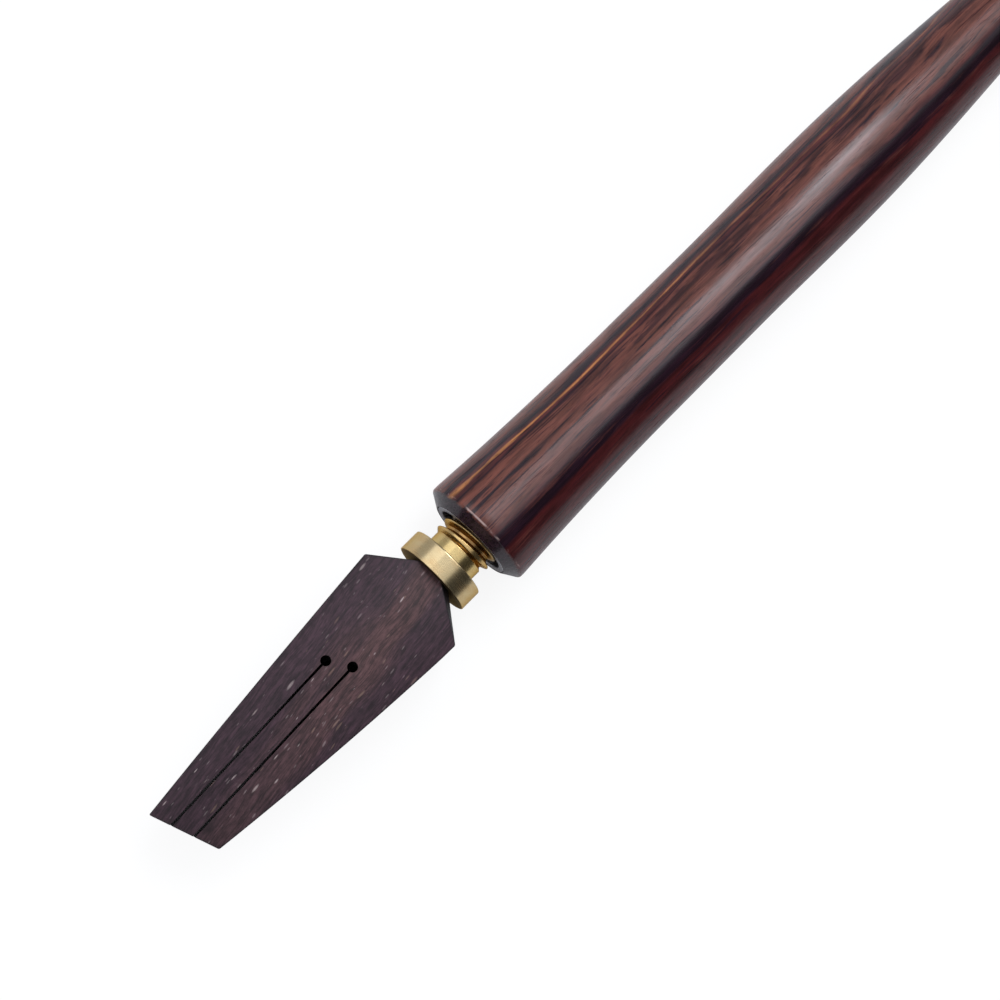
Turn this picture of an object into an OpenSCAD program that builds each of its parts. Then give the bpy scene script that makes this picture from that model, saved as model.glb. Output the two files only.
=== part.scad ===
// Broad-edge calligraphy pen: a turned wooden handle with a screw-on wooden nib.
// The pen lies along X with the nib toward -X, the nib's flat face up and the front rim on z = 0.
// Distances along the pen are counted from the flat front face of the handle, toward the tail.

/* [Handle] */
// Width of the bevel round the front end, seen from the front
bevel_w = 1.4; // [0.6:0.1:2.4]
// Length of that bevel along the pen
bevel_len = 0.75; // [0.4:0.05:2]
// Width of the small break on the edge of the front rim
rim_break = 0.2; // [0.1:0.05:0.4]
// Wood left on the front face round the insert
face_land = 0.12; // [0.05:0.01:0.6]
// Length of the flare behind the rim
flare_len = 21; // [16:0.5:30]
// Diameter of the straight waist
waist_d = 10.25; // [9.6:0.05:11]
// Length of the straight waist
waist_len = 12; // [6:0.5:24]
// Diameter of the belly behind the waist
belly_d = 10.6; // [10:0.05:12]
// Length from the waist to the top of the belly
swell_len = 16; // [8:0.5:30]
// Diameter of the stem behind the belly
stem_d = 7.4; // [6:0.1:9]
// Length from the belly to the stem
taper_len = 40.5; // [25:0.5:60]
// Diameter of the handle just before its rounded tail
tail_d = 6.2; // [5:0.1:8]
// Length of the stem up to the rounded tail
stem_len = 36; // [15:1:70]
// Length of the rounded tail
dome_len = 3; // [1.5:0.1:4]

/* [Threaded insert] */
// Open gap round the thread in the mouth of the insert
mouth_gap = 0.625; // [0.4:0.025:1]
// Depth of that open mouth
mouth_depth = 2; // [1.4:0.1:3]
// Wall of the insert round its mouth
insert_wall = 0.575; // [0.4:0.025:0.9]
// Length of the insert
insert_len = 11; // [9:0.5:13]
// Number of glue grooves round the insert
groove_count = 3; // [1:1:4]
// Width of a glue groove
groove_w = 0.8; // [0.4:0.1:1.2]
// Depth of a glue groove
groove_depth = 0.25; // [0.1:0.05:0.3]
// Depth of the drill point behind the insert
drill_point = 1.6; // [0.5:0.1:3]
// Diameter of the drilled hole behind the insert
drill_d = 6.6; // [5:0.1:7.5]

/* [Screw fitting] */
// Outside diameter of the thread
thread_d = 6; // [5:0.5:7]
// Distance the nib travels in one turn
thread_pitch = 1; // [0.7:0.05:1.25]
// Depth of the thread
thread_depth = 0.61; // [0.4:0.01:0.7]
// Length of the thread
thread_len = 9.3; // [7:0.1:9.5]
// Length over which the thread fades out at both ends
thread_fade = 0.35; // [0.2:0.05:0.8]
// Diameter of the plain neck between the flange and the thread
neck_d = 5.3; // [4.6:0.1:5.8]
// Length of the plain neck
neck_len = 1.3; // [0.8:0.1:1.8]
// Width of the ring on which the flange seats against the insert
seat_w = 0.375; // [0.2:0.025:0.5]
// Thickness of the flange
flange_t = 2.1; // [1:0.1:4]
// Break on the edges of the flange
flange_break = 0.15; // [0.05:0.05:0.4]

/* [Tang pin] */
// Diameter of the pin that joins the nib to the screw fitting
pin_d = 2.5; // [1.5:0.1:3]
// Length of the pin inside the screw fitting
pin_in_ferrule = 7; // [3:0.5:9]
// Length of the pin inside the nib
pin_in_nib = 8; // [4:0.5:9]
// Round-over on the pin's ends
pin_break = 0.3; // [0.1:0.05:0.5]

/* [Nib] */
// Width across the shoulders
nib_w = 11.7; // [9:0.1:12]
// Thickness behind the writing edge's long cut
nib_t = 6; // [5:0.1:7]
// Width of the back end where it meets the flange
nib_back_w = 3.6; // [3.4:0.1:7]
// Length from the back end to the shoulders
shoulder_len = 3.2; // [1.5:0.1:6]
// Length from the back end to the long corner of the writing edge
nib_len = 32.9; // [26:0.1:45]
// Distance of the long corner of the writing edge from the pen's axis
edge_long_side = 2.85; // [2:0.05:5]
// Distance of the short corner of the writing edge from the pen's axis
edge_short_side = 3.65; // [2:0.05:5]
// Bow of the nib's side on the long corner, out from a straight line
long_side_bow = 0.1; // [0:0.05:0.5]
// Bow of the nib's side on the short corner
short_side_bow = 0.25; // [0:0.05:0.5]
// Slant of the writing edge
edge_slant = 18.5; // [0:0.5:40]
// Thickness of the writing edge
edge_t = 1; // [0.5:0.05:2]
// Length of the long cut under the nib, measured square to the writing edge
cut_len = 18; // [8:0.5:22]

/* [Slits] */
// Width of a slit
slit_w = 0.24; // [0.1:0.01:0.5]
// Diameter of the round hole at the end of a slit
slit_hole_d = 1; // [0.6:0.05:1.4]
// Lean of the slits to the pen's axis
slit_lean = 2; // [-4:0.5:4]
// Distance of the hole on the long side from the nib's back end
long_hole_from_back = 12.5; // [11:0.1:20]
// Offset of the hole on the long side from the pen's axis
long_hole_offset = 1.5; // [0.8:0.05:2.5]
// Distance of the hole on the short side from the nib's back end
short_hole_from_back = 11.2; // [10:0.1:20]
// Offset of the hole on the short side from the pen's axis
short_hole_offset = 0.6; // [0.3:0.05:2.5]

/* [Fit] */
// Turns by which the nib is shown unscrewed
open_turns = 2.9; // [0:0.1:4]
// Room left between the flange and the insert when the nib is screwed home
seat_clearance = 0.02; // [0.01:0.01:0.1]
// Radial room between the two threads
thread_clearance = 0.12; // [0.08:0.01:0.2]
// Radial room round the pin
pin_clearance = 0.04; // [0.01:0.01:0.1]
// Room beyond each end of the pin
pin_end_room = 0.2; // [0.1:0.05:0.5]
// Radial glue room round the insert
glue_room = 0.03; // [0.01:0.01:0.1]

/* [Hidden] */
$fn = 64;

// Overshoot of a cutting shape past the face it cuts
over = 1;
// How far the thread is rooted in the neck
thread_root_len = 0.3;
// Points round the thread and rings in one turn of it
thread_sides = 20;
thread_rings = 8;

// Diameters that follow the thread, from the inside out
thread_r = thread_d / 2;
mouth_r = thread_r + mouth_gap;
insert_r = mouth_r + insert_wall;
bore_r = insert_r + glue_room;
face_r = bore_r + face_land;
rim_r = face_r + bevel_w;
flange_r = mouth_r + seat_w;

// Stations along the handle
rim_at = bevel_len + rim_break;
flare_end = rim_at + flare_len;
waist_end = flare_end + waist_len;
belly_at = waist_end + swell_len;
stem_at = belly_at + taper_len;
dome_at = stem_at + stem_len;
tail_at = dome_at + dome_len;

// Stations along the nib unit, which is shown partly unscrewed
flange_back = -open_turns * thread_pitch - seat_clearance;
flange_front = flange_back - flange_t;
thread_at = flange_back + neck_len;
thread_end = thread_at + thread_len;
nib_back = flange_front;
nib_tip = nib_back - nib_len;
// Turns from the start of the thread to its first crest on the underside
first_crest = 0.2;
crest_at = thread_at + first_crest * thread_pitch;

// The part's origin is under the middle of the pen, on the surface it lies on
middle = (nib_tip + tail_at) / 2;
axis_height = rim_r;

// Runs from 0 to 1 with no slope at either end
function ease(t) = (1 - cos(180 * t)) / 2;

// Radius of the handle behind the rim
function flare_radius(t) = waist_d / 2 + (rim_r - waist_d / 2) * pow(1 - t, 2);
function eased_radius(d1, d2, t) = (d1 + (d2 - d1) * ease(t)) / 2;

// Half outline of the handle: radius and distance along the pen, from the front face to the tail
flare_steps = 10;
swell_steps = 8;
taper_steps = 14;
stem_steps = 8;
dome_steps = 8;
handle_outline = concat(
    [[0, 0], [face_r, 0], [rim_r - rim_break, bevel_len]],
    [for (i = [0:flare_steps]) [flare_radius(i / flare_steps), rim_at + flare_len * i / flare_steps]],
    [for (i = [0:swell_steps])
        [eased_radius(waist_d, belly_d, i / swell_steps), waist_end + swell_len * i / swell_steps]],
    [for (i = [1:taper_steps])
        [eased_radius(belly_d, stem_d, i / taper_steps), belly_at + taper_len * i / taper_steps]],
    [for (i = [1:stem_steps])
        [eased_radius(stem_d, tail_d, i / stem_steps), stem_at + stem_len * i / stem_steps]],
    [for (i = [1:dome_steps - 1])
        [tail_d / 2 * cos(90 * i / dome_steps), dome_at + dome_len * sin(90 * i / dome_steps)]],
    [[0, tail_at]]
);

// Points along a line from a to b that bows out to the right of the way it runs
bow_steps = 8;
function bowed(a, b, bow) =
    let (way = (b - a) / norm(b - a), out = [way[1], -way[0]])
        [for (i = [0:bow_steps]) let (t = i / bow_steps) a + (b - a) * t + out * 4 * bow * t * (1 - t)];

// Radius of the outer and of the inner thread at an angle and a distance along the pen
function fade(along) = max(0, min(1, (along - thread_at) / thread_fade, (thread_end - along) / thread_fade));
function wave(angle, along) = (1 + cos(360 * (along - crest_at) / thread_pitch - angle)) / 2;
function male_radius(angle, along) = thread_r - thread_depth * (1 - fade(along) * wave(angle, along));
function female_radius(angle, along) = thread_r + thread_clearance - thread_depth * (1 - wave(angle, along));

// Stands a shape that was made along Z on the pen's axis
module along_pen(at = 0) {
    translate([at - middle, 0, axis_height])
        rotate([0, 90, 0])
            children();
}

// A closed threaded bar from one station to another, made along Z with Z counted as the station
module thread_bar(from, to, female) {
    rings = ceil((to - from) / thread_pitch * thread_rings);
    stations = [for (k = [0:rings]) from + (to - from) * k / rings];
    angles = [for (i = [0:thread_sides - 1]) 360 * i / thread_sides];
    skin = [for (z = stations) for (a = angles)
        let (r = female ? female_radius(a, z) : male_radius(a, z))
            [r * cos(a), r * sin(a), z]];
    first_centre = len(skin);
    last_centre = first_centre + 1;
    last_ring = rings * thread_sides;
    walls = [for (k = [0:rings - 1]) for (i = [0:thread_sides - 1])
        let (
            a = k * thread_sides + i,
            b = k * thread_sides + (i + 1) % thread_sides,
            c = a + thread_sides,
            d = b + thread_sides
        )
        each [[a, d, b], [a, c, d]]];
    caps = [for (i = [0:thread_sides - 1])
        let (j = (i + 1) % thread_sides)
        each [[first_centre, i, j], [last_centre, last_ring + j, last_ring + i]]];
    polyhedron(points = concat(skin, [[0, 0, from], [0, 0, to]]), faces = concat(walls, caps));
}

module handle() {
    color("#5a2f26")
        along_pen()
            difference() {
                rotate_extrude()
                    polygon(handle_outline);
                translate([0, 0, -over])
                    cylinder(r = bore_r, h = insert_len + over);
                translate([0, 0, insert_len - over])
                    cylinder(d = drill_d, h = drill_point + over);
            }
}

module threaded_insert() {
    groove_step = (insert_len - mouth_depth) / (groove_count + 1);
    color("#8f8b8e")
        along_pen()
            difference() {
                cylinder(r = insert_r, h = insert_len);
                translate([0, 0, -over])
                    cylinder(r = mouth_r, h = mouth_depth + over);
                thread_bar(mouth_depth - over, insert_len + over, true);
                for (i = [1:groove_count])
                    translate([0, 0, mouth_depth + i * groove_step - groove_w / 2])
                        difference() {
                            cylinder(r = insert_r + over, h = groove_w);
                            translate([0, 0, -over])
                                cylinder(r = insert_r - groove_depth, h = groove_w + 2 * over);
                        }
            }
}

module screw_ferrule() {
    outline = [
        [0, flange_front],
        [flange_r - flange_break, flange_front],
        [flange_r, flange_front + flange_break],
        [flange_r, flange_back - flange_break],
        [flange_r - flange_break, flange_back],
        [neck_d / 2, flange_back],
        [neck_d / 2, thread_at],
        [0, thread_at]
    ];
    color("#cdb987")
        along_pen()
            difference() {
                union() {
                    rotate_extrude()
                        polygon(outline);
                    thread_bar(thread_at - thread_root_len, thread_end, false);
                }
                translate([0, 0, flange_front - over])
                    cylinder(d = pin_d + 2 * pin_clearance, h = pin_in_ferrule + pin_end_room + over);
            }
}

module tang_pin() {
    pin_len = pin_in_ferrule + pin_in_nib;
    outline = [
        [0, 0],
        [pin_d / 2 - pin_break, 0],
        [pin_d / 2, pin_break],
        [pin_d / 2, pin_len - pin_break],
        [pin_d / 2 - pin_break, pin_len],
        [0, pin_len]
    ];
    color("#b49a5c")
        along_pen(nib_back - pin_in_nib)
            rotate_extrude()
                polygon(outline);
}

// A slit from its round hole out through the writing edge, seen from above
module slit(from_back, offset) {
    translate([nib_back - from_back, offset]) {
        circle(d = slit_hole_d);
        rotate(slit_lean)
            translate([-nib_len, -slit_w / 2])
                square([nib_len, slit_w]);
    }
}

// Outline of the nib seen from above, in the pen's own stations
module nib_outline() {
    edge_run = (edge_long_side + edge_short_side) * tan(edge_slant);
    shoulder_at = nib_back - shoulder_len;
    long_side = bowed([shoulder_at, nib_w / 2], [nib_tip, edge_long_side], long_side_bow);
    short_side = bowed([nib_tip + edge_run, -edge_short_side], [shoulder_at, -nib_w / 2], short_side_bow);
    difference() {
        polygon(concat(
            [[nib_back, nib_back_w / 2]],
            long_side,
            short_side,
            [[nib_back, -nib_back_w / 2]]
        ));
        slit(long_hole_from_back, long_hole_offset);
        slit(short_hole_from_back, -short_hole_offset);
    }
}

// The long cut under the nib, which leaves the writing edge thin and runs past it at both ends
module under_cut() {
    slope = (nib_t - edge_t) / cut_len;
    front_z = nib_t / 2 - edge_t + over * slope;
    back_z = -nib_t / 2 - over * slope;
    translate([nib_tip, edge_long_side, 0])
        rotate([0, 0, edge_slant])
            rotate([90, 0, 0])
                linear_extrude(height = 4 * nib_w, center = true)
                    polygon([[-over, front_z], [cut_len + over, back_z], [-over, back_z]]);
}

module nib_blade() {
    color("#463c3f")
        translate([-middle, 0, axis_height])
            difference() {
                linear_extrude(height = nib_t, center = true)
                    nib_outline();
                under_cut();
                translate([nib_back - pin_in_nib - pin_end_room, 0, 0])
                    rotate([0, 90, 0])
                        cylinder(d = pin_d + 2 * pin_clearance, h = pin_in_nib + pin_end_room + over);
            }
}

handle();
threaded_insert();
screw_ferrule();
tang_pin();
nib_blade();
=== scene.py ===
import math

import bmesh
import bpy
from mathutils import Matrix, Vector


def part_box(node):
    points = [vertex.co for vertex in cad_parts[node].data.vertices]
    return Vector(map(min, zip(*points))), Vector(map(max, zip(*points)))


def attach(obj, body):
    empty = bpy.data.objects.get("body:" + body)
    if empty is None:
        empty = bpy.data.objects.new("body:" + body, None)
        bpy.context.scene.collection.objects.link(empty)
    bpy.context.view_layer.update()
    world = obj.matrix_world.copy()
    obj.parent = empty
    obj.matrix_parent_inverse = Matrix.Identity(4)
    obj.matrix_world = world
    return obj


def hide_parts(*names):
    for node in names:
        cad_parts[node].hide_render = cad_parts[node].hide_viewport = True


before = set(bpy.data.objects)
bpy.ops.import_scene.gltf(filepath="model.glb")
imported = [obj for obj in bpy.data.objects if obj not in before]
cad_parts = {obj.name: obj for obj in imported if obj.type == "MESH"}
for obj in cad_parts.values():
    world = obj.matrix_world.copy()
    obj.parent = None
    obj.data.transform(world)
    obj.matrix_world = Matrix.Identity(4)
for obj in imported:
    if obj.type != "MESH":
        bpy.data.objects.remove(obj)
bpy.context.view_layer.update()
print("frame loaded:", ", ".join(sorted(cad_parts)))

mm = 0.001
imageSize = 1000  # pixels along each side of the picture
pointR = 1e-9  # metres, a ring smaller than this is a point
touch = 1e-6  # metres, a point this close to a line is on it

# places that every piece shares, read from the frame
handleLow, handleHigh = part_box("handle")
insertLow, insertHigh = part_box("threaded_insert")
ferruleLow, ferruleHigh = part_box("screw_ferrule")
nibLow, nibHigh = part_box("nib_blade")
pinLow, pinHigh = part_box("tang_pin")
axisZ = (handleLow.z + handleHigh.z) / 2  # height of the pen's axis
frontX = handleLow.x  # flat front face of the handle
rimR = (handleHigh.z - handleLow.z) / 2
insertR = (insertHigh.z - insertLow.z) / 2
flangeR = (ferruleHigh.z - ferruleLow.z) / 2
pinR = (pinHigh.z - pinLow.z) / 2

view = {
    "lens": 70,
    "sensor": 36,
    "distance": 180.54 * mm,  # from the camera to the middle of the handle's rim, along the view
    "tilt": math.radians(11),  # the tail leans this far away from the camera
    "lean": math.radians(44.908),  # the pen's slope across the picture
    "rimPixel": (477.3, 532.9),  # where the middle of the rim shows
    "rimBack": 0.95 * mm,  # from the front face to the rim
    "clipStart": 10 * mm,
}


def placeCamera():
    along = Vector((math.cos(view["lean"]), -math.sin(view["lean"])))
    c, s = math.cos(view["tilt"]), math.sin(view["tilt"])
    # the pen's axes as the camera sees them: right, down, away
    penX = Vector((along.x * c, along.y * c, s))
    penZ = Vector((along.x * s, along.y * s, -c))
    penY = penZ.cross(penX)
    right, down, away = (Vector((penX[i], penY[i], penZ[i])) for i in range(3))
    focal = view["lens"] / view["sensor"] * imageSize
    offset = [(p - imageSize / 2) / focal * view["distance"] for p in view["rimPixel"]]
    rim = Vector((frontX + view["rimBack"], 0, axisZ))
    place = rim - right * offset[0] - down * offset[1] - away * view["distance"]
    data = bpy.data.cameras.new("camera")
    data.lens = view["lens"]
    data.sensor_width = view["sensor"]
    data.clip_start = view["clipStart"]
    camera = bpy.data.objects.new("camera", data)
    turn = Matrix((right, -down, -away)).transposed().to_4x4()
    camera.matrix_world = Matrix.Translation(place) @ turn
    bpy.context.scene.collection.objects.link(camera)
    bpy.context.scene.camera = camera


placeCamera()
print("camera placed")


class Wire:  # one output of a node, usable in sums
    def __init__(self, tree, socket=None):
        self.tree = tree
        self.socket = socket

    def node(self, kind, settings=None, inputs=None, out=0):
        made = self.tree.nodes.new(kind)
        for key, value in (settings or {}).items():
            if key == "stops":
                setStops(made.color_ramp, value)
            else:
                setattr(made, key, value)
        for key, value in (inputs or {}).items():
            if isinstance(value, Wire):
                self.tree.links.new(value.socket, made.inputs[key])
            else:
                made.inputs[key].default_value = value
        return Wire(self.tree, made.outputs[out])

    def math(self, operation, a, b=0.0):
        return self.node("ShaderNodeMath", {"operation": operation}, {0: a, 1: b})

    def parts(self):
        made = self.node("ShaderNodeSeparateXYZ", {}, {0: self}).socket.node
        return [Wire(self.tree, output) for output in made.outputs]

    def __add__(self, other):
        return self.math("ADD", self, other)

    def __sub__(self, other):
        return self.math("SUBTRACT", self, other)

    def __rsub__(self, other):
        return self.math("SUBTRACT", other, self)

    def __mul__(self, other):
        return self.math("MULTIPLY", self, other)

    def __truediv__(self, other):
        return self.math("DIVIDE", self, other)

    def __rtruediv__(self, other):
        return self.math("DIVIDE", other, self)

    def __abs__(self):
        return self.math("ABSOLUTE", self)

    __radd__ = __add__
    __rmul__ = __mul__


def setStops(ramp, stops):
    while len(ramp.elements) > 1:
        ramp.elements.remove(ramp.elements[-1])
    for i, (place, color) in enumerate(stops):
        stop = ramp.elements[0] if i == 0 else ramp.elements.new(place)
        stop.position = place
        stop.color = (*color, 1)


def newFinish(name):
    finish = bpy.data.materials.new(name)
    finish.use_nodes = True
    tree = finish.node_tree
    shader = tree.nodes["Principled BSDF"]
    start = Wire(tree)
    millimetres = start.node("ShaderNodeVectorMath", {"operation": "SCALE"},
                             {0: start.node("ShaderNodeTexCoord", out="Object"), "Scale": 1 / mm})
    return finish, shader, millimetres


def feed(shader, **sockets):
    for name, value in sockets.items():
        socket = shader.inputs[name.replace("_", " ")]
        if isinstance(value, Wire):
            value.tree.links.new(value.socket, socket)
        else:
            socket.default_value = value


def noise(x, y, z, detail, roughness):
    at = x.node("ShaderNodeCombineXYZ", {}, {0: x, 1: y, 2: z})
    return at.node("ShaderNodeTexNoise", {},
                   {"Vector": at, "Scale": 1.0, "Detail": detail, "Roughness": roughness})


def grain(scales, along, across, deep):
    # noise drawn out along the grain: per mm along, across and into the wood, detail, roughness
    perAlong, perAcross, perDeep, detail, roughness = scales
    return noise(along * perAlong, across * perAcross, deep * perDeep, detail, roughness)


def ringNoise(value, detail):
    return value.node("ShaderNodeTexNoise", {"noise_dimensions": "1D"},
                      {"W": value, "Scale": 1.0, "Detail": detail})


def between(value, low, high, toLow=0.0, toHigh=1.0):
    return value.node("ShaderNodeMapRange", {"interpolation_type": "SMOOTHSTEP"},
                      {0: value, 1: low, 2: high, 3: toLow, 4: toHigh})


def blend(factor, a, b, mode="MIX"):
    wire = next(v for v in (factor, a, b) if isinstance(v, Wire))
    a, b = (v if isinstance(v, Wire) else (*v, 1) for v in (a, b))
    return wire.node("ShaderNodeMix", {"data_type": "RGBA", "blend_type": mode},
                     {0: factor, 6: a, 7: b}, out=2)


def shade(color, brightness):
    return blend(1.0, color, brightness, "MULTIPLY")


def bump(height, strength, depth):
    return height.node("ShaderNodeBump", {}, {"Height": height, "Strength": strength, "Distance": depth})


rosewood = {
    "heart": (0.050, 0.0120, 0.0120),
    "light": (0.089, 0.0285, 0.0205),
    "red": (0.035, 0.0057, 0.0062),
    "dark": (0.010, 0.0035, 0.0068),
    "amber": (0.26, 0.100, 0.034),
    "endGrain": (0.014, 0.0065, 0.0095),
    "rubbedAndGlint": (0.32, 0.23, 0.21),  # bare wood along the worn rim, its lighter top also a painted highlight of the rounded edge
    "noises": {  # per mm along, across and into the wood, detail, roughness
        "wander": (0.05, 0.22, 0.22, 2.0, 0.5),
        "ripple": (0.16, 1.1, 1.1, 2.0, 0.5),
        "fade": (0.14, 0.8, 0.2, 4.0, 0.65),
        "patch": (0.22, 1.7, 0.6, 3.0, 0.6),
        "fibre": (0.14, 8.0, 3.0, 4.0, 0.66),
        "hair": (0.09, 5.0, 2.0, 3.0, 0.6),
        "pore": (0.75, 8.0, 8.0, 2.0, 0.6),
        "ray": (2.0, 3.2, 3.2, 3.0, 0.6),
        "rub": (1.2, 0.9, 0.9, 3.0, 0.55),
    },
    "ranges": {  # from and to in a noise, and the values there if they aren't 0 and 1
        "fadeBand": (0.40, 0.52),
        "fadeReach": (0.30, 0.66, 0.5, 1.3),
        "fadeAmber": (0.34, 0.56, 0.35, 1.0),
        "patchTone": (0.30, 0.70, 0.65, 1.35),
        "fibreTone": (0.32, 0.68, 0.85, 1.15),
        "fibreLacquer": (0.30, 0.70, 1.12, 0.82),
        "hair": (0.62, 0.69),
        "pore": (0.62, 0.70),
        "rayTone": (0.35, 0.65, 0.5, 1.6),
        "rub": (0.26, 0.54),
    },
    "ringTilt": 0.2,  # the growth rings' planes lean this much
    "gather": 0.167,  # share by which the grain draws together behind the front end
    "gatherLength": 18,  # mm
    "loosen": 0.065,  # share by which it opens again
    "loosenEnds": (25, 45),  # mm
    "warp": 0.2,  # mm, the grain's wander at the front end
    "warpGrowth": (15, 70, 1.0, 4.0),  # mm from the front end, times as much
    "ripple": 0.35,  # mm
    "halfSpan": 6.0,  # mm, the figure below runs from minus to plus this far across the rings
    # the light stop at 5.6 and the red stops below -1.9 also paint the +Y side lighter and the -Y side
    # darker: partly the wood's own tone, partly painted light and shade
    "figure": [
        (-6.0, "red"), (-4.2, "heart"), (-3.2, "red"), (-1.9, "red"), (-1.55, "dark"), (-0.42, "dark"),
        (-0.1, "heart"), (0.5, "light"), (2.52, "light"), (2.68, "dark"), (2.78, "dark"), (2.92, "light"),
        (4.1, "light"), (4.28, "dark"), (4.5, "heart"), (4.95, "heart"), (5.1, "dark"), (5.3, "dark"),
        (5.6, "light"),
    ],
    "streaks": [  # per mm along and across the grain, range of the noise, tone, strength
        (0.055, 2.3, 0.46, 0.30, "heart", 0.55),
        (0.055, 2.3, 0.57, 0.63, "dark", 0.80),
        (0.120, 3.4, 0.60, 0.66, "dark", 0.85),
        (0.090, 1.5, 0.56, 0.66, "light", 0.35),
    ],
    "streakNoise": (0.5, 5.0, 0.66),  # per mm into the wood, detail, roughness
    "bands": [  # mm across the rings, half width, mm from the front end from none to full, tone, strength
        (2.73, 0.34, (8, 16), "light", 0.75),
        (3.62, 0.62, (11, 20), "dark", 0.70),
    ],
    "bandCore": 0.4,  # share of the half width at full strength
    "amberAt": 4.80,  # mm across the rings
    "amberHalf": 0.13,
    "amberCore": 0.1,
    "amberRipple": 0.3,  # share of the ripple that the line follows
    "amberFront": (1, 4, 2.0, 1.0),  # mm from the front end, times as wide
    "amberEnds": (24, 42, 1.0, 0.35),  # mm from the front end, strength
    "hairShift": 100,  # mm, keeps the hairs apart from the fibres
    "hairSlant": 0.045,
    "hairDark": 0.65,
    "poreDark": 0.4,
    "endBlend": (-0.30, -0.12),  # mm from the rim, from end grain to lacquered wood
    "rimWidth": (0.03, 0.13),  # mm on each side of the rim, from worn to whole
    "glintArc": (9, 19),  # degrees from the top toward +Y, half width, where the rim's painted highlight shows
    "glintFall": (0.4, 1.6, 0.0, 0.25),  # share of the half width, what the noise loses there
    "glintShow": 0.85,
    "relief": (0.3, -0.4, -0.25),  # of fibres, pores and hairs
    "reliefStrength": 0.25,
    "reliefDepth": 0.03 * mm,
    "roughness": 0.32,
    "roughFibre": 0.14,
    "roughWorn": 0.2,
    "lacquer": 0.5,
    "lacquerChange": (0.1, -0.7, -0.6, -0.5),  # on the end, the worn rim, pores and hairs
    "lacquerRoughness": 0.2,
}


def rosewoodFinish():
    w = rosewood
    noises, ranges = w["noises"], w["ranges"]
    finish, shader, place = newFinish("rosewood")
    x, y, z = place.parts()
    z = z - axisZ / mm
    along = x - frontX / mm
    gather = between(along, 0, w["gatherLength"]) * w["gather"]
    gather = gather - between(along, *w["loosenEnds"]) * w["loosen"]
    wander = (grain(noises["wander"], x, y, z) - 0.5) * (2 * w["warp"])
    wander = wander * between(along, *w["warpGrowth"])
    ripple = (grain(noises["ripple"], x, y, z) - 0.5) * (2 * w["ripple"])
    ring = y * (1 + gather) + z * w["ringTilt"] + wander
    span = w["halfSpan"]
    stops = [((u + span) / (2 * span), w[tone]) for u, tone in w["figure"]]
    color = ring.node("ShaderNodeValToRGB", {"stops": stops}, {0: (ring + ripple + span) / (2 * span)})
    # streaks, bands, the amber line and the fibres all follow the rings
    perDeep, detail, roughness = w["streakNoise"]
    for length, width, low, high, tone, strength in w["streaks"]:
        streak = noise(x * length + width, ring * width, z * perDeep, detail, roughness)
        color = blend(between(streak, low, high) * strength, color, w[tone])
    # some bands of the figure change behind the front end, and they are broken
    fade = grain(noises["fade"], x, ring, z)
    for at, half, ends, tone, strength in w["bands"]:
        band = 1 - between(abs(ring + ripple - at), half * w["bandCore"], half)
        band = band * between(along, *ends) * strength
        color = blend(band * between(fade, *ranges["fadeBand"]), color, w[tone])
    reach = between(fade, *ranges["fadeReach"]) * between(along, *w["amberFront"]) * w["amberHalf"]
    fromLine = abs(ring + ripple * w["amberRipple"] - w["amberAt"])
    line = (1 - between(fromLine / reach, w["amberCore"], 1.0)) * between(along, *w["amberEnds"])
    color = blend(line * between(fade, *ranges["fadeAmber"]), color, w["amber"])
    color = shade(color, between(grain(noises["patch"], x, ring, z), *ranges["patchTone"]))
    fibre = grain(noises["fibre"], x, ring, z)
    color = shade(color, between(fibre, *ranges["fibreTone"]))
    # thin dark hairs cross the grain at a small angle
    hair = grain(noises["hair"], x + w["hairShift"], ring + x * w["hairSlant"], z)
    hair = between(hair, *ranges["hair"])
    color = blend(hair * w["hairDark"], color, w["dark"])
    pore = between(grain(noises["pore"], x, y, z), *ranges["pore"])
    color = blend(pore * w["poreDark"], color, w["dark"])
    # the bevelled end is bare end grain, and its rim has lost some lacquer
    fromRim = along - view["rimBack"] / mm
    end = 1 - between(fromRim, *w["endBlend"])
    rays = between(grain(noises["ray"], x, y, z), *ranges["rayTone"])
    color = blend(end, color, shade(w["endGrain"], rays))
    # the rim's top arc takes a lighter colour: partly worn bare wood, partly a painted highlight on its
    # rounded edge
    middle, half = (math.radians(v) for v in w["glintArc"])
    fromArc = abs(x.math("ARCTAN2", y, z) - middle)
    rub = grain(noises["rub"], x, y, z) - between(fromArc / half, *w["glintFall"])
    worn = (1 - between(abs(fromRim), *w["rimWidth"])) * between(rub, *ranges["rub"])
    color = blend(worn * w["glintShow"], color, w["rubbedAndGlint"])
    lacquer = between(fibre, *ranges["fibreLacquer"]) * w["lacquer"]
    for mask, change in zip((end, worn, pore, hair), w["lacquerChange"]):
        lacquer = lacquer * (1 + mask * change)
    height = sum(mask * share for mask, share in zip((fibre, pore, hair), w["relief"]))
    feed(shader, Base_Color=color,
         Roughness=w["roughness"] + (fibre - 0.5) * w["roughFibre"] + worn * w["roughWorn"],
         Normal=bump(height, w["reliefStrength"], w["reliefDepth"]),
         Coat_Weight=lacquer, Coat_Roughness=w["lacquerRoughness"], Specular_IOR_Level=0.0)
    return finish


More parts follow.
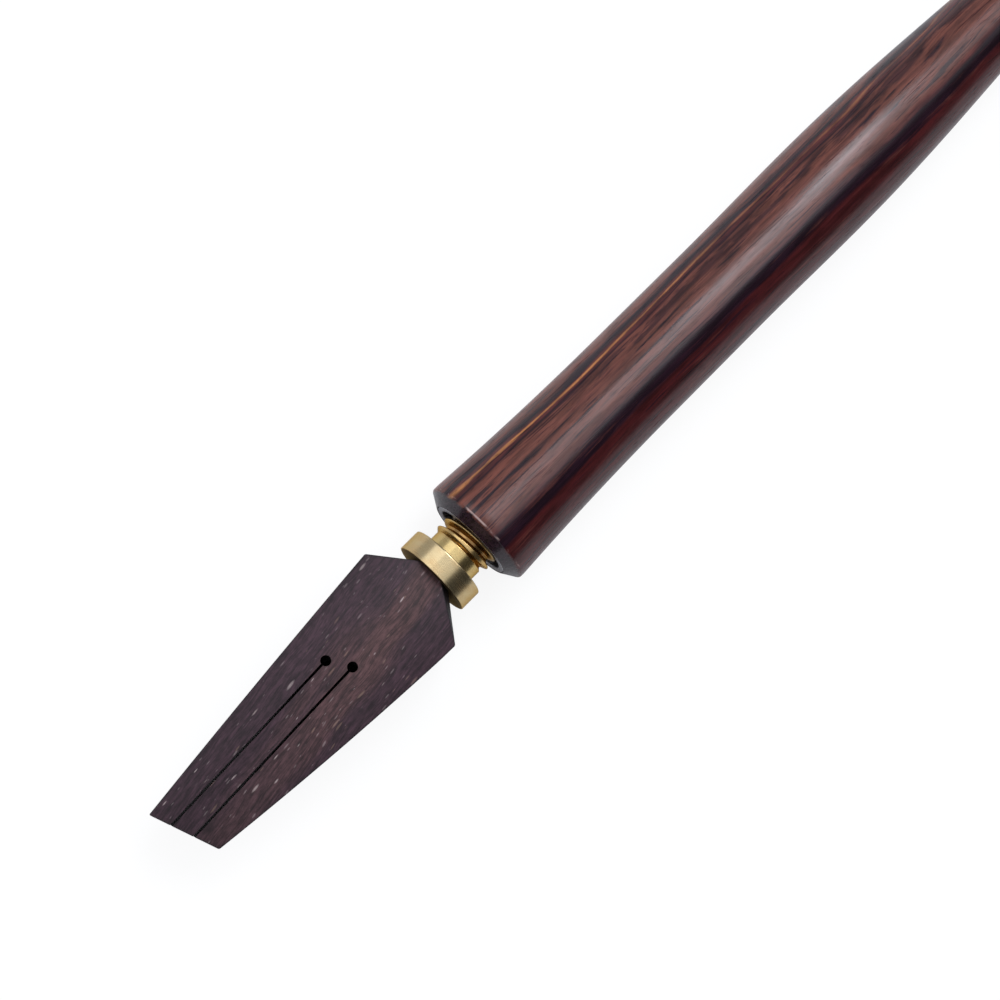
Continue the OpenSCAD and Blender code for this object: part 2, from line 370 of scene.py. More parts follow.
ebony = {
    "lean": math.radians(7.5),  # of the grain to the pen's axis
    "dark": (0.027, 0.0130, 0.0183),
    "brown": (0.050, 0.0236, 0.0240),
    "tan": (0.34, 0.21, 0.150),
    "pale": (0.33, 0.27, 0.265),
    # ink, also the colour of the painted shade on the broken edges, the slit walls and the right shoulder
    "inkAndShade": (0.004, 0.003, 0.004),
    "noises": {  # per mm along, across and into the wood, detail, roughness
        "wave": (0.10, 0.25, 0.25, 2.0, 0.5),
        "band": (0.06, 0.40, 0.40, 3.0, 0.6),
        "fibre": (0.55, 6.0, 6.0, 4.0, 0.68),
        "mottle": (1.2, 2.2, 2.2, 3.0, 0.6),
    },
    "wave": 1.6,  # mm, the grain's wander
    "heartAt": 7.3,  # mm across the grain, the middle of the browner band
    "heartHalf": 2.8,
    "heartCore": 0.2,  # share of the half width that is fully brown
    "heartWander": 5,  # mm
    "heartTip": (6, 24, 0.5, 1.0),  # mm from the tip, strength of the brown
    "fibreTone": (0.3, 0.7, 0.45, 1.60),  # range of the noise, times as bright
    "mottleTone": (0.3, 0.7, 0.75, 1.25),
    "paintedShade": (0, 26, 0.86, 1.0),  # mm from the tip, the share to which painted shade darkens it
    "flecks": [  # mm long and wide, share of the cells, mm of shift, strength, more by tint, tones, depth
        (1.1, 0.26, 0.40, 3.7, 0.10, 0.30, ("pale", "pale"), 0.2),
        (1.8, 0.38, 0.24, 0.0, 0.20, 0.65, ("tan", "pale"), 0.3),
    ],
    "fleckSize": (0.12, 0.26),  # of a cell, the least and what is added
    "fleckEdge": (0.45, 1.05),  # of a fleck, from full to none
    "fleckHeart": (0.7, 0.3),  # strength beside the brown band, more in it
    "fleckSplit": 0.02,  # softness of the choice of cells
    "edgeFacing": (0.05, 0.3),  # how far up a surface faces, from the sides to the broken edges
    "topFacing": (0.93, 0.99),  # from the broken edges to the face
    "edgeShade": 0.7,
    "wallFacing": (0.65, 0.9),  # from walls to the face
    "slitInkShadeEnd": 1.15,  # times the reach of the slits' walls, where their ink and painted shade end
    "slitStart": 0.1,  # mm before and behind the holes' middles
    "holeInkShadeEnd": (1.02, 1.12),  # times the holes' radius
    "shoulderShade": 0.85,  # painted shade along the right shoulder
    "shoulderBand": (0.12, 0.70),  # mm, its width at the corner and at the flange
    "shoulderSoft": 0.08,  # mm
    "relief": 0.5,  # of the fibres
    "reliefStrength": 0.3,
    "reliefDepth": 0.03 * mm,
    "roughness": 0.55,
    "roughFibre": 0.12,
    "gloss": 0.2,
}


def slitInkShadeMask(x, y, facing):
    # old ink and painted shade on the walls of the slits and of their holes
    c, s = math.cos(nib["slitLean"]), math.sin(nib["slitLean"])
    reach = (nib["slitWidth"] / 2 + nib["splitShift"]) / mm
    start = ebony["slitStart"]
    mask = 0.0
    for fromBack, offset in nib["holes"]:
        ahead = (nibHigh.x - fromBack) / mm - x
        aside = y - offset / mm
        run = ahead * c - aside * s
        off = ahead * s + aside * c
        slit = (1 - between(abs(off), reach, reach * ebony["slitInkShadeEnd"])) * between(run, -start, start)
        fromMiddle = x.math("SQRT", run * run + off * off)
        hole = 1 - between(fromMiddle / (nib["holeR"] / mm), *ebony["holeInkShadeEnd"])
        mask = x.math("MAXIMUM", mask, x.math("MAXIMUM", slit, hole))
    return mask * (1 - between(facing, *ebony["wallFacing"]))


# painted shade along the right shoulder, widening toward the flange
def shoulderShadeMask(x, y):
    start = Vector((nibHigh.x, -nib["backWidth"] / 2)) / mm
    end = Vector((nibHigh.x - nib["shoulderLength"], nibLow.y)) / mm
    way = (end - start).normalized()
    inside = (x - start.x) * way.y - (y - start.y) * way.x
    width = between(x, end.x, start.x, *ebony["shoulderBand"])
    soft = ebony["shoulderSoft"]
    return 1 - between(inside - width, -soft, soft)


def fleckMask(along, across, deep, length, width, share):
    # pale pores: small ellipses along the grain, in some of the cells
    at = along.node("ShaderNodeCombineXYZ", {}, {0: along / length, 1: across / width, 2: deep / width})
    cells = at.node("ShaderNodeTexVoronoi", {}, {"Vector": at, "Scale": 1.0, "Randomness": 1.0})
    red, green, blue = Wire(at.tree, cells.socket.node.outputs["Color"]).parts()
    split = ebony["fleckSplit"]
    keep = 1 - between(red, share - split, share + split)
    least, more = ebony["fleckSize"]
    size = least + green * green * more
    return (1 - between(cells / size, *ebony["fleckEdge"])) * keep, blue


def ebonyFinish():
    e = ebony
    noises = e["noises"]
    finish, shader, place = newFinish("nibWood")
    x, y, z = place.parts()
    c, s = math.cos(e["lean"]), math.sin(e["lean"])
    wave = grain(noises["wave"], x, y, z) - 0.5
    along = x * c + y * s
    across = y * c - x * s + wave * e["wave"]
    band, fibre, mottle = (grain(noises[k], along, across, z) for k in ("band", "fibre", "mottle"))
    fromTip = x - nibLow.x / mm
    fromHeart = abs(across - e["heartAt"]) + (band - 0.5) * e["heartWander"]
    heart = between(fromHeart, e["heartHalf"], e["heartHalf"] * e["heartCore"])
    heart = heart * between(fromTip, *e["heartTip"])
    color = blend(heart, e["dark"], e["brown"])
    color = shade(color, between(fibre, *e["fibreTone"]))
    color = shade(color, between(mottle, *e["mottleTone"]))
    # painted shade: the wood is darker toward the tip
    color = shade(color, between(fromTip, *e["paintedShade"]))
    height = fibre * e["relief"]
    plain, more = e["fleckHeart"]
    richness = plain + heart * more
    for length, width, share, shift, faint, gain, tones, depth in e["flecks"]:
        mask, tint = fleckMask(along + shift, across, z, length, width, share)
        tone = blend(tint, e[tones[0]], e[tones[1]])
        color = blend(mask * richness * (faint + tint * gain), color, tone)
        height = height - mask * depth
    # painted shade: the broken edges, picked out by how far they face up, are darkened
    facing = abs(x.node("ShaderNodeTexCoord", out="Normal").parts()[2])
    edge = between(facing, *e["edgeFacing"]) * (1 - between(facing, *e["topFacing"]))
    color = blend(edge * e["edgeShade"], color, e["inkAndShade"])
    color = blend(slitInkShadeMask(x, y, facing), color, e["inkAndShade"])
    color = blend(shoulderShadeMask(x, y) * e["shoulderShade"], color, e["inkAndShade"])
    feed(shader, Base_Color=color, Roughness=e["roughness"] + (fibre - 0.5) * e["roughFibre"],
         Normal=bump(height, e["reliefStrength"], e["reliefDepth"]), Specular_IOR_Level=e["gloss"])
    return finish


brass = {
    "color": (0.42, 0.315, 0.140),
    "worn": (0.405, 0.318, 0.178),  # the flange is rubbed paler than the rest
    "tarnish": (0.36, 0.20, 0.07),
    "grease": (0.24, 0.125, 0.045),
    "mouthShade": 0.8,  # share of painted shade where the thread enters the handle
    "paintedShade": (0.030, 0.017, 0.010),  # painted shade on the flange's front face before the nib, and where the thread enters the handle
    "edge": (0.72, 0.58, 0.40),  # tint at a grazing view
    "roughness": 0.25,
    "lines": 9.0,  # tool marks per mm
}

steel = {
    "color": (0.34, 0.335, 0.35),
    "worn": (0.40, 0.395, 0.41),
    "tarnish": (0.16, 0.15, 0.15),
    "grease": (0.03, 0.025, 0.025),
    "mouthShade": 0.0,
    "paintedShade": (0.03, 0.025, 0.025),
    "edge": (0.6, 0.6, 0.62),
    "roughness": 0.36,
    "lines": 7.0,
}

turning = {  # what both metals share, places in mm
    "cloudNoise": (0.9, 0.5, 0.5, 4.0, 0.6),  # per mm along and across, detail, roughness
    "cloudTarnish": (0.42, 0.75, 0.0, 0.35),  # range of the noise, strength
    "flangeFrom": (3.0, 3.3),  # radius
    "threadFrom": (3.3, 3.7),  # behind the flange's front
    "threadTarnish": 0.35,
    "rootTo": (2.40, 2.85),  # radius
    "rootGrease": 0.7,
    "mouthFrom": (-0.10, 0.25),  # behind the handle's front face
    "shadeReach": (0.004, 0.03),  # behind the flange's front
    "shadeAside": (1.9, 2.9, 0.9, 0.4),  # from the middle to the sides, strength
    "markDetail": 3.0,
    "markStrength": 0.12,
    "markDepth": 0.006 * mm,
    "roughCloud": 0.14,
    "roughMarks": 0.10,
    "roughFace": 0.3,
}


def turnedMetal(name, metal):
    t = turning
    finish, shader, place = newFinish(name)
    x, y, z = place.parts()
    z = z - axisZ / mm
    radius = x.math("SQRT", y * y + z * z)
    fromFlange = x - (ferruleLow.x - ferrule["frontAhead"]) / mm
    marks = ringNoise((x + radius) * metal["lines"], t["markDetail"])
    cloud = grain(t["cloudNoise"], x, y, z)
    color = blend(between(radius, *t["flangeFrom"]), metal["color"], metal["worn"])
    color = blend(between(cloud, *t["cloudTarnish"]), color, metal["tarnish"])
    # the roots of the thread hold old grease
    onThread = between(fromFlange, *t["threadFrom"])
    root = 1 - between(radius, *t["rootTo"])
    color = blend(onThread * t["threadTarnish"], color, metal["tarnish"])
    color = blend(onThread * root * t["rootGrease"], color, metal["grease"])
    # painted shade on the thread where it enters the handle, which also takes away its metal look
    shadedMouth = between(x - frontX / mm, *t["mouthFrom"]) * metal["mouthShade"]
    color = blend(shadedMouth, color, metal["paintedShade"])
    # painted shade on the flange's front face where the nib stands before it, fading toward the sides
    faceShade = 1 - between(fromFlange, *t["shadeReach"])
    color = blend(faceShade * between(abs(y), *t["shadeAside"]), color, metal["paintedShade"])
    roughness = metal["roughness"] + (cloud - 0.5) * t["roughCloud"] + (marks - 0.5) * t["roughMarks"]
    feed(shader, Base_Color=color, Metallic=1 - shadedMouth, Roughness=roughness + faceShade * t["roughFace"],
         Normal=bump(marks, t["markStrength"], t["markDepth"]), Specular_Tint=(*metal["edge"], 1))
    return finish


def ease(t):
    return (1 - math.cos(math.pi * t)) / 2


def roundAxis(x, radius, angle):  # angle 0 is straight down, a quarter turn is toward +Y
    return Vector((x, radius * math.sin(angle), axisZ - radius * math.cos(angle)))


corner = {
    "leastTurn": math.radians(14),  # a flatter corner stays as it is
    "share": 0.4,  # of the sides beside it, the most that a corner takes up
    "hold": 0.2,  # of its reach, from its ends to the points that hold the flats
}


def softCorners(points, radius, steps=4):
    # rounds each sharp corner of an outline and holds the flats beside it flat
    made = [points[0]]
    for before, at, after in zip(points, points[1:], points[2:]):
        a, b, c = Vector(before), Vector(at), Vector(after)
        back, on = a - b, c - b
        turn = math.pi - back.angle(on)
        if turn < corner["leastTurn"]:
            made.append(at)
            continue
        reach = min(radius * math.tan(turn / 2), corner["share"] * back.length, corner["share"] * on.length)
        back.normalize()
        on.normalize()
        start, end = b + back * reach, b + on * reach
        made.append(tuple(start + back * reach * corner["hold"]))
        for i in range(steps + 1):
            t = i / steps
            made.append(tuple(start * (1 - t) ** 2 + b * (2 * t * (1 - t)) + end * t ** 2))
        made.append(tuple(end + on * reach * corner["hold"]))
    made.append(points[-1])
    return made


def turned(name, rings, sides, closed=False):
    # skins rings of (x, radius), where a radius may be a function of the angle
    verts, rows, faces = [], [], []
    for x, radius in rings:
        first = len(verts)
        if not callable(radius) and radius < pointR:
            verts.append(roundAxis(x, 0, 0))
            rows.append([first] * sides)
            continue
        for i in range(sides):
            angle = 2 * math.pi * i / sides
            verts.append(roundAxis(x, radius(angle) if callable(radius) else radius, angle))
        rows.append(list(range(first, first + sides)))
    pairs = list(zip(rows, rows[1:])) + ([(rows[-1], rows[0])] if closed else [])
    for low, high in pairs:
        for i in range(sides):
            j = (i + 1) % sides
            corners = list(dict.fromkeys([low[i], low[j], high[j], high[i]]))
            if len(corners) > 2:
                faces.append(corners)
    mesh = bpy.data.meshes.new(name)
    mesh.from_pydata(verts, [], faces)
    work = bmesh.new()
    work.from_mesh(mesh)
    bmesh.ops.recalc_face_normals(work, faces=work.faces)
    work.to_mesh(mesh)
    work.free()
    return mesh


def addPiece(mesh, body, node, finish, sharp):
    mesh.shade_smooth()
    mesh.set_sharp_from_angle(angle=math.radians(sharp))
    mesh.materials.append(finish)
    piece = bpy.data.objects.new(mesh.name, mesh)
    bpy.context.scene.collection.objects.link(piece)
    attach(piece, body)
    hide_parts(node)
    print("piece made:", mesh.name, len(mesh.vertices), "points")


handle = {
    "glueRoom": 0.03 * mm,
    "faceLand": 0.12 * mm,
    "bevelLength": 0.75 * mm,
    "rimBreak": 0.2 * mm,
    "flareLength": 21 * mm,
    "flareRings": 40,
    "waistR": 5.125 * mm,
    "waistLength": 12 * mm,
    "waistRings": 12,
    "bellyR": 5.3 * mm,
    "swellLength": 16 * mm,
    "swellRings": 24,
    "stemR": 3.7 * mm,
    "taperLength": 40.5 * mm,
    "taperRings": 48,
    "tailR": 3.1 * mm,
    "tailRings": 36,
    "domeLength": 3 * mm,
    "domeRings": 16,
    "drillR": 3.3 * mm,
    "drillPoint": 1.6 * mm,
    "edgeRound": 0.22 * mm,
    "sharp": 40,  # degrees
    "sides": 144,
}


def makeHandle(finish):
    h = handle
    boreR = insertR + h["glueRoom"]
    boreEnd = insertHigh.x
    drillEnd = boreEnd + h["drillPoint"]
    rimX = frontX + h["bevelLength"] + h["rimBreak"]
    mouth = [
        (drillEnd, 0),
        (drillEnd, h["drillR"]),
        (boreEnd, h["drillR"]),
        (boreEnd, boreR),
        (frontX, boreR),
        (frontX, boreR + h["faceLand"]),
        (rimX - h["rimBreak"] / 2, rimR - h["rimBreak"] / 4),
        (rimX + h["rimBreak"], rimR),
    ]
    rings = softCorners(mouth, h["edgeRound"])[:-1]
    at = rimX

    def run(length, steps, radiusAt):
        nonlocal at
        for i in range(1, steps + 1):
            rings.append((at + length * i / steps, radiusAt(i / steps)))
        at += length

    def eased(a, b):
        return lambda t: a + (b - a) * ease(t)

    domeX = handleHigh.x - h["domeLength"]
    swellEnd = rimX + h["flareLength"] + h["waistLength"] + h["swellLength"]
    tailLength = domeX - swellEnd - h["taperLength"]
    run(h["flareLength"], h["flareRings"], lambda t: h["waistR"] + (rimR - h["waistR"]) * (1 - t) ** 2)
    run(h["waistLength"], h["waistRings"], lambda t: h["waistR"])
    run(h["swellLength"], h["swellRings"], eased(h["waistR"], h["bellyR"]))
    run(h["taperLength"], h["taperRings"], eased(h["bellyR"], h["stemR"]))
    run(tailLength, h["tailRings"], eased(h["stemR"], h["tailR"]))
    for i in range(1, h["domeRings"] + 1):
        turn = math.pi / 2 * i / h["domeRings"]
        rings.append((domeX + h["domeLength"] * math.sin(turn), h["tailR"] * math.cos(turn)))
    mesh = turned("handle_wood", rings, h["sides"])
    addPiece(mesh, "handle", "handle", finish, h["sharp"])


thread = {
    "pitch": 1.0 * mm,
    "radius": 3.0 * mm,
    "depth": 0.61 * mm,
    "crestFlat": 0.125,  # share of the pitch
    "rootFlat": 0.25,
    "leastFlank": 0.11,  # share of the pitch, beside the wide first crest
    "straight": 0.55,  # share of the flanks' form, the rest is rounded
    "startFlat": 0.30,  # the first crest is this much wider on its neck side
    "startTurn": 0.75,  # share of a turn after which it isn't
    "startRamp": 6,  # times per turn, how fast it narrows before that
    "clearance": 0.12 * mm,
    "firstCrest": -1.52 * mm,  # from the handle's front face to a crest on the underside
    "ringsPerTurn": 28,
    "sharp": 50,  # degrees
}


def threadShape(x, angle, startFlat=0.0):
    # 1 on the crest, 0 in the root, with straight flanks and softened corners
    share = angle / (2 * math.pi)
    turns = (x - frontX - thread["firstCrest"]) / thread["pitch"] - share
    crest = round(turns)
    flat = thread["crestFlat"] / 2
    if crest == 0 and turns < 0:
        flat += startFlat * ease(min(1, max(0, thread["startRamp"] * (thread["startTurn"] - share))))
    end = max(0.5 - thread["rootFlat"] / 2, flat + thread["leastFlank"])
    t = min(1, max(0, (abs(turns - crest) - flat) / (end - flat)))
    return 1 - (thread["straight"] * t + (1 - thread["straight"]) * t * t * (3 - 2 * t))


ferrule = {
    "flangeThickness": 2.1 * mm,
    "frontAhead": 0.12 * mm,  # the flange grips the nib's end this far
    "neckR": 2.65 * mm,
    "neckLength": 1.3 * mm,
    "hold": 0.05 * mm,  # keeps the neck flat beside the thread
    "fade": 0.35 * mm,
    "endChamfer": 0.5 * mm,
    "pinDepth": 7.2 * mm,
    "pinRoom": 0.04 * mm,
    "frontChamfer": (0.05 * mm, 0.12 * mm),  # along and across
    "frontRound": 0.03 * mm,
    "edgeRound": 0.14 * mm,
    "roundSteps": 5,
    "sides": 120,
}


def makeFerrule(finish):
    f = ferrule
    front = ferruleLow.x - f["frontAhead"]
    back = ferruleLow.x + f["flangeThickness"]
    threadX = back + f["neckLength"]
    endX = ferruleHigh.x
    holeR = pinR + f["pinRoom"]
    atMiddle = ((front + back) / 2, flangeR)
    flange = [
        (ferruleLow.x + f["pinDepth"], 0),
        (ferruleLow.x + f["pinDepth"], holeR),
        (front, holeR),
        (front, flangeR - f["frontChamfer"][1]),
        (front + f["frontChamfer"][0], flangeR),
        atMiddle,
    ]
    neck = [
        atMiddle,
        (back, flangeR),
        (back, f["neckR"]),
        (threadX - f["hold"], f["neckR"]),
        (threadX, f["neckR"]),
    ]
    rings = softCorners(flange, f["frontRound"], f["roundSteps"])[:-1]
    rings += softCorners(neck, f["edgeRound"], f["roundSteps"])[:-1]
    count = round((endX - threadX) / thread["pitch"] * thread["ringsPerTurn"])

    def threadR(x):
        def at(angle):
            fade = min(1, max(0, (x - threadX) / f["fade"]))
            crest = thread["radius"] - thread["depth"] * (1 - threadShape(x, angle, thread["startFlat"]))
            limit = thread["radius"] - max(0, x - (endX - f["endChamfer"]))
            return min(f["neckR"] + (crest - f["neckR"]) * fade, limit)
        return at

    for i in range(count + 1):
        x = threadX + (endX - threadX) * i / count
        rings.append((x, threadR(x)))
    rings.append((endX, thread["radius"] - thread["depth"] - f["endChamfer"] / 2))
    rings.append((endX, 0))
    mesh = turned("brass_screw", rings, f["sides"])
    addPiece(mesh, "nib_unit", "screw_ferrule", finish, thread["sharp"])


insert = {
    "mouthR": 3.625 * mm,
    "mouthDepth": 2.0 * mm,
    "grooves": 3,
    "grooveWidth": 0.8 * mm,
    "grooveDepth": 0.25 * mm,
    "edgeRound": 0.12 * mm,
    "sides": 120,
}


def makeInsert(finish):
    n = insert
    front, back = insertLow.x, insertHigh.x
    mouthX = front + n["mouthDepth"]
    step = (back - mouthX) / (n["grooves"] + 1)
    outline = [(mouthX, n["mouthR"]), (front, n["mouthR"]), (front, insertR)]
    for i in range(1, n["grooves"] + 1):
        start = mouthX + i * step - n["grooveWidth"] / 2
        end = start + n["grooveWidth"]
        low = insertR - n["grooveDepth"]
        outline += [(start, insertR), (start, low), (end, low), (end, insertR)]
    outline += [(back, insertR), (back, thread["radius"] + thread["clearance"])]
    rings = softCorners(outline, n["edgeRound"])
    count = round((back - mouthX) / thread["pitch"] * thread["ringsPerTurn"])

    def boreR(x):
        def at(angle):
            return thread["radius"] + thread["clearance"] - thread["depth"] * (1 - threadShape(x, angle))
        return at

    for i in range(count + 1):
        x = back + (mouthX - back) * i / count
        rings.append((x, boreR(x)))
    mesh = turned("steel_insert", rings, n["sides"], closed=True)
    addPiece(mesh, "handle", "threaded_insert", finish, thread["sharp"])


nib = {
    "backWidth": 3.6 * mm,
    "shoulderLength": 3.2 * mm,
    "shoulderWear": [(-0.0624 * mm, 0.0496 * mm), (0, 1.07 * mm)],  # the right one: its corner, its end
    "shoulderDrop": 1.0 * mm,  # how far down the wear goes
    "longSide": 2.85 * mm,  # from the axis to the long corner of the writing edge
    "shortSide": 3.65 * mm,
    "longBow": 0.1 * mm,  # the sides bow out this far from a straight line
    "shortBow": 0.25 * mm,
    "slant": math.radians(18.5),
    "edgeThickness": 1.0 * mm,
    "cutLength": 18.0 * mm,
    "slitWidth": 0.24 * mm,
    "splitWidth": 0.05 * mm,  # the slit narrows to a split on the underside
    "splitShift": 0.22 * mm,
    "splitAhead": 0.75 * mm,  # the split starts this far in front of the hole
    "splitShare": 0.35,  # of the thickness, the rest is sawn straight
    "slitLean": math.radians(2),
    "holeR": 0.5 * mm,
    "drillTipR": 0.06 * mm,
    "holes": [(12.5 * mm, 1.5 * mm), (11.2 * mm, -0.6 * mm)],  # from the back end, from the axis
    "pinDepth": 8.2 * mm,
    "pinRoom": 0.04 * mm,
    "pinSides": 32,
    "edgeBreak": 0.13 * mm,
    "flatEdge": math.radians(5),  # an edge this flat isn't broken
    "sharp": 24,  # degrees
}


def cutDistance(p):  # how far a point lies behind the writing edge, square to it
    return (p.x - nibLow.x) * math.cos(nib["slant"]) + (p.y - nib["longSide"]) * math.sin(nib["slant"])


def onWritingEdge(p):
    return cutDistance(p) < touch


def slitPath(fromBack, offset, shift, ahead, width, radius, steps=28):
    # in along the left wall, round the hole and out along the right wall
    out = Vector((-math.cos(nib["slitLean"]), -math.sin(nib["slitLean"])))
    left = Vector((-math.sin(nib["slitLean"]), math.cos(nib["slitLean"])))
    middle = Vector((nibHigh.x - fromBack, offset)) + left * shift + out * ahead
    opening = math.asin(width / 2 / radius)
    arc = []
    for i in range(steps + 1):
        turn = opening + (2 * math.pi - 2 * opening) * i / steps
        arc.append(middle + out * radius * math.cos(turn) + left * radius * math.sin(turn))

    def atEdge(p):  # where the wall through p leaves the writing edge
        slope = out.x * math.cos(nib["slant"]) + out.y * math.sin(nib["slant"])
        return p - out * (cutDistance(p) / slope)

    return [atEdge(arc[0]), *arc, atEdge(arc[-1])]


def bowed(a, b, bow, steps=16):
    way = (b - a).normalized()
    out = Vector((way.y, -way.x))
    shares = [i / steps for i in range(steps + 1)]
    return [a.lerp(b, t) + out * (4 * bow * t * (1 - t)) for t in shares]


def nibOutline():
    # pairs of points on the top and on the underside, and whether they belong to a slit
    n = nib
    halfWidth = (nibHigh.y - nibLow.y) / 2
    edgeRun = (n["longSide"] + n["shortSide"]) * math.tan(n["slant"])
    shoulderX = nibHigh.x - n["shoulderLength"]
    longCorner = Vector((nibLow.x, n["longSide"]))
    shortCorner = Vector((nibLow.x + edgeRun, -n["shortSide"]))
    left = [Vector((nibHigh.x, n["backWidth"] / 2))]
    left += bowed(Vector((shoulderX, halfWidth)), longCorner, n["longBow"])
    right = bowed(shortCorner, Vector((shoulderX, -halfWidth)), n["shortBow"])
    right += [Vector((nibHigh.x, -n["backWidth"] / 2))]
    outline = [(p, p, False) for p in left]
    for hole in n["holes"]:
        sawn = slitPath(*hole, 0, 0, n["slitWidth"], n["holeR"])
        split = slitPath(*hole, n["splitShift"], n["splitAhead"], n["splitWidth"], n["drillTipR"])
        outline += [(a, b, True) for a, b in zip(sawn, split)]
    outline += [(p, p, False) for p in right]
    # a corner wherever the underside crosses the start of the long cut
    points, crossing = [], []
    for here, there in zip(outline, outline[1:]):
        points.append(here)
        a, b = (cutDistance(p[1]) - n["cutLength"] for p in (here, there))
        if a * b < 0:
            t = a / (a - b)
            crossing.append(len(points))
            points.append((here[0].lerp(there[0], t), here[1].lerp(there[1], t), here[2] and there[2]))
    return points + [outline[-1]], crossing


def addPinBore(work, back):
    # a blind bore in from the back end, its mouth is returned
    sides, holeR = nib["pinSides"], pinR + nib["pinRoom"]
    bore = []
    for i in range(sides):
        angle = 2 * math.pi * i / sides
        bore.append((holeR * math.sin(angle), axisZ - holeR * math.cos(angle)))
    mouth = [work.verts.new((back, y, z)) for y, z in bore]
    end = [work.verts.new((back - nib["pinDepth"], y, z)) for y, z in bore]
    for i in range(sides):
        j = (i + 1) % sides
        work.faces.new((mouth[i], mouth[j], end[j], end[i]))
    work.faces.new(end)
    return mouth


def isFlat(edge):
    return len(edge.link_faces) == 2 and edge.calc_face_angle() < nib["flatEdge"]


def makeNib(finish):
    n = nib
    back, top, bottom = nibHigh.x, nibHigh.z, nibLow.z
    points, crossing = nibOutline()
    slope = (top - bottom - n["edgeThickness"]) / n["cutLength"]
    work = bmesh.new()
    upper, middle, lower = [], [], []
    # the last points of the outline are the right shoulder, which slopes off
    wear = [Vector(shift) for shift in n["shoulderWear"]]
    shifts = [None] * (len(points) - len(wear)) + wear
    for (sawn, split, isSlit), shift in zip(points, shifts):
        under = top - n["edgeThickness"] - slope * min(cutDistance(split), n["cutLength"])
        bend = under + (top - under) * n["splitShare"]
        if shift:
            bend = top - n["shoulderDrop"]
        upper.append(work.verts.new((*(sawn + shift if shift else sawn), top)))
        middle.append(work.verts.new((*sawn, bend)) if isSlit or shift else None)
        lower.append(work.verts.new((split.x, split.y, under)))
    work.faces.new(upper)
    for i in range(len(points) - 1):
        j = i + 1
        acrossTine = onWritingEdge(points[i][0]) and onWritingEdge(points[j][0])
        if middle[i] and middle[j] and not acrossTine:
            work.faces.new((upper[i], middle[i], middle[j], upper[j]))
            work.faces.new((middle[i], lower[i], lower[j], middle[j]))
        else:
            ring = [upper[i], middle[i], lower[i], lower[j], middle[j], upper[j]]
            work.faces.new([v for v in ring if v])
    # the underside is one flat and a sloping face on each tine
    for first, last in zip(crossing[0::2], crossing[1::2]):
        work.faces.new(list(reversed(lower[first:last + 1])))
    behindCut = [cutDistance(p[1]) > n["cutLength"] - touch for p in points]
    flat = [v for i, v in enumerate(lower) if behindCut[i] or i in crossing]
    work.faces.new(list(reversed(flat)))
    # the back end, round the pin's bore
    mouth = addPinBore(work, back)
    half = len(mouth) // 2
    work.faces.new([upper[0], lower[0], *mouth[:half + 1]])
    work.faces.new([lower[-1], middle[-1], upper[-1], *mouth[half:], mouth[0]])
    work.faces.new([upper[-1], upper[0], mouth[half]])
    work.faces.new([lower[0], lower[-1], mouth[0]])
    bmesh.ops.recalc_face_normals(work, faces=work.faces)

    # break the outer edges, not those of the slits and the bore
    outer = [i for i, p in enumerate(points) if not p[2] or onWritingEdge(p[0])]
    keep = {row[i] for row in (upper, lower) for i in outer} | set(middle[-len(wear):])
    chosen = [e for e in work.edges if e.verts[0] in keep and e.verts[1] in keep and not isFlat(e)]
    bmesh.ops.bevel(work, geom=chosen, offset=n["edgeBreak"], segments=2, profile=0.5, affect="EDGES",
                    clamp_overlap=True)
    mesh = bpy.data.meshes.new("nib_wood")
    work.to_mesh(mesh)
    work.free()
    addPiece(mesh, "nib_unit", "nib_blade", finish, n["sharp"])


brassFinish = turnedMetal("turnedBrass", brass)
makeHandle(rosewoodFinish())
makeFerrule(brassFinish)
makeInsert(turnedMetal("turnedSteel", steel))
makeNib(ebonyFinish())
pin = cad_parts["tang_pin"]
pin.data.materials.clear()
pin.data.materials.append(brassFinish)
print("pin finished")

studio = {
    "floorSize": 8.0,
    "floorColor": (0.9, 0.9, 0.9),
    "floorWhite": 0.88,  # share of plain white that the floor shows to the camera
    "floorMirrored": 0.15,  # the same in reflections, which keep more of its shadow
    "tint": (0.96, 0.99, 1.06),  # of the lamps and the room
    "lampDistance": 0.9,
    "lamps": [  # degrees toward -Y and toward +X, half spans across and along, brightness
        ("overhead", -6, 22, 10, 7, 9.0),
        ("overheadRight", 17, 20, 10, 5, 3.6),
        ("overheadLeft", -18, 28, 8, 4, 12.0),
        ("far", -5, 41, 14, 9, 2.4),
        ("near", -38, 5, 18, 7, 1.9),
    ],
    "top": 1.2,  # brightness of the room overhead, to the left, to the right and along the right wall
    "left": 0.75,
    "right": 0.08,
    "rightWall": 0.18,
    "leftFrom": (0.15, 0.75),  # toward +Y, where the room changes over
    "rightFrom": (-0.46, -0.54),
    "wallTo": (0.10, 0.30),  # upward
}


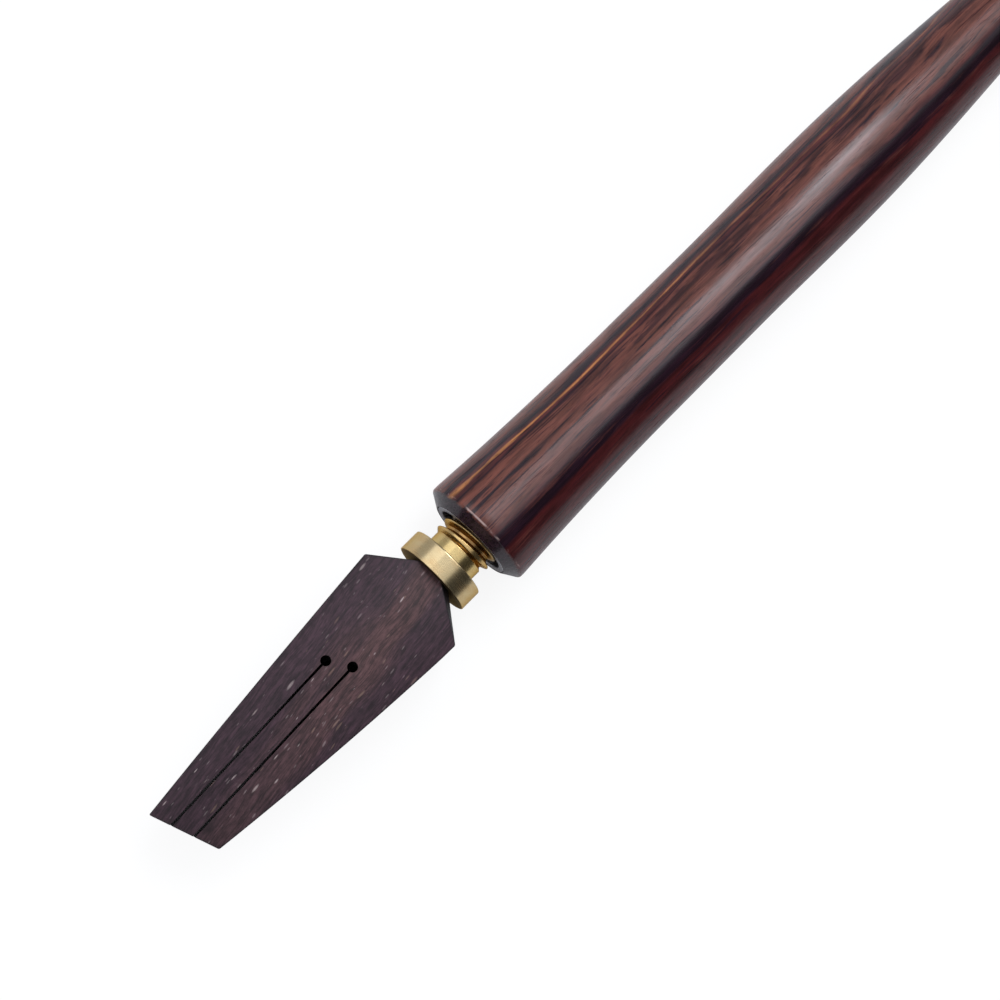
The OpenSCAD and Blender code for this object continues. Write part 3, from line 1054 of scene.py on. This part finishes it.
def makeFloor():
    size = studio["floorSize"] / 2
    corners = [(-size, -size, 0), (size, -size, 0), (size, size, 0), (-size, size, 0)]
    mesh = bpy.data.meshes.new("floor")
    mesh.from_pydata(corners, [], [(0, 1, 2, 3)])
    floor = bpy.data.objects.new("floor", mesh)
    bpy.context.scene.collection.objects.link(floor)
    finish = bpy.data.materials.new("paleFloor")
    finish.use_nodes = True
    tree = finish.node_tree
    tree.nodes.remove(tree.nodes["Principled BSDF"])
    start = Wire(tree)
    light = start.node("ShaderNodeLightPath")
    rays = light.socket.node.outputs
    seen, glossy, through = (Wire(tree, rays["Is %s Ray" % n]) for n in ("Camera", "Glossy", "Transmission"))
    white = start.node("ShaderNodeEmission", {}, {"Strength": 1.0})
    matt = start.node("ShaderNodeBsdfDiffuse", {}, {"Color": (*studio["floorColor"], 1)})
    mirrored = light.math("MAXIMUM", glossy, through) * studio["floorMirrored"]
    share = light.math("MAXIMUM", seen * studio["floorWhite"], mirrored)
    mixed = start.node("ShaderNodeMixShader", {}, {0: share, 1: matt, 2: white})
    tree.links.new(mixed.socket, tree.nodes["Material Output"].inputs["Surface"])
    mesh.materials.append(finish)


def makeLamp(name, right, tail, halfAcross, halfAlong, brightness):
    distance = studio["lampDistance"]
    data = bpy.data.lights.new(name, "AREA")
    data.shape = "RECTANGLE"
    data.size = 2 * distance * math.tan(math.radians(halfAlong))
    data.size_y = 2 * distance * math.tan(math.radians(halfAcross))
    data.energy = brightness * math.pi * data.size * data.size_y
    data.color = studio["tint"]
    lamp = bpy.data.objects.new(name, data)
    toward = Vector((math.tan(math.radians(tail)), -math.tan(math.radians(right)), 1)).normalized()
    across = toward.cross(Vector((1, 0, 0))).normalized()
    along = across.cross(toward)
    turn = Matrix((along, across, toward)).transposed().to_4x4()
    lamp.matrix_world = Matrix.Translation(toward * distance + Vector((0, 0, axisZ))) @ turn
    bpy.context.scene.collection.objects.link(lamp)


def makeRoom():
    s = studio
    world = bpy.data.worlds.new("studio")
    world.use_nodes = True
    bpy.context.scene.world = world
    tree = world.node_tree
    start = Wire(tree)
    x, y, z = start.node("ShaderNodeTexCoord", out="Generated").parts()
    seen = start.node("ShaderNodeLightPath", out="Is Camera Ray")
    bright = s["top"] + between(y, *s["leftFrom"]) * (s["left"] - s["top"])
    wall = 1 - between(z, *s["wallTo"])
    dark = s["right"] + wall * (s["rightWall"] - s["right"])
    level = bright + between(y, *s["rightFrom"]) * (dark - bright)
    level = level + seen * (1 - level)  # plain white behind the floor
    background = tree.nodes["Background"]
    background.inputs["Color"].default_value = (*s["tint"], 1)
    tree.links.new(level.socket, background.inputs["Strength"])


makeFloor()
for lamp in studio["lamps"]:
    makeLamp(*lamp)
makeRoom()
bpy.context.scene.view_settings.view_transform = "Standard"
print("stage lit")
